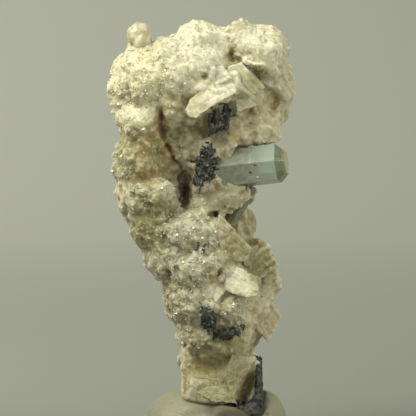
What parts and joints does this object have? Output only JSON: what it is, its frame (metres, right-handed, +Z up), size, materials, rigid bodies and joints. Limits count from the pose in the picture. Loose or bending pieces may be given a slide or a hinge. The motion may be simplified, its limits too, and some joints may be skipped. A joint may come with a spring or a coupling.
{
  "type": "aquamarine crystal specimen",
  "caption": "Pale aquamarine prism on an upright piece of feldspar rock with black tourmaline, standing in a lump of mounting putty.",
  "frame": {"origin": "the middle of the putty's flat underside", "axes": "+Z up along the specimen, -Y towards its front, +X to the viewer's right of the front, the way the aquamarine points"},
  "size_m": [0.0373, 0.0248, 0.0853],
  "materials": {
    "aquamarine": "clear pale blue-green, bright prism faces",
    "grey_beryl": "dull grey-green, slightly translucent",
    "feldspar": "cream to white, rough, with a sparkling crust",
    "hyalite": "glassy and milky",
    "schorl": "black, vitreous, broken",
    "putty": "matt, off-white, finger-marked"
  },
  "bodies": {
    "root": {"aquamarine_crystal": "aquamarine", "side_beryl_crystal": "grey_beryl", "feldspar_matrix": "feldspar", "hyalite_knob": "hyalite", "schorl_under_shelf": "schorl", "schorl_beside_crystal": "schorl", "schorl_lower": "schorl", "schorl_lower_streak": "schorl", "schorl_foot": "schorl", "mounting_putty": "putty"}
  },
  "joints": []
}
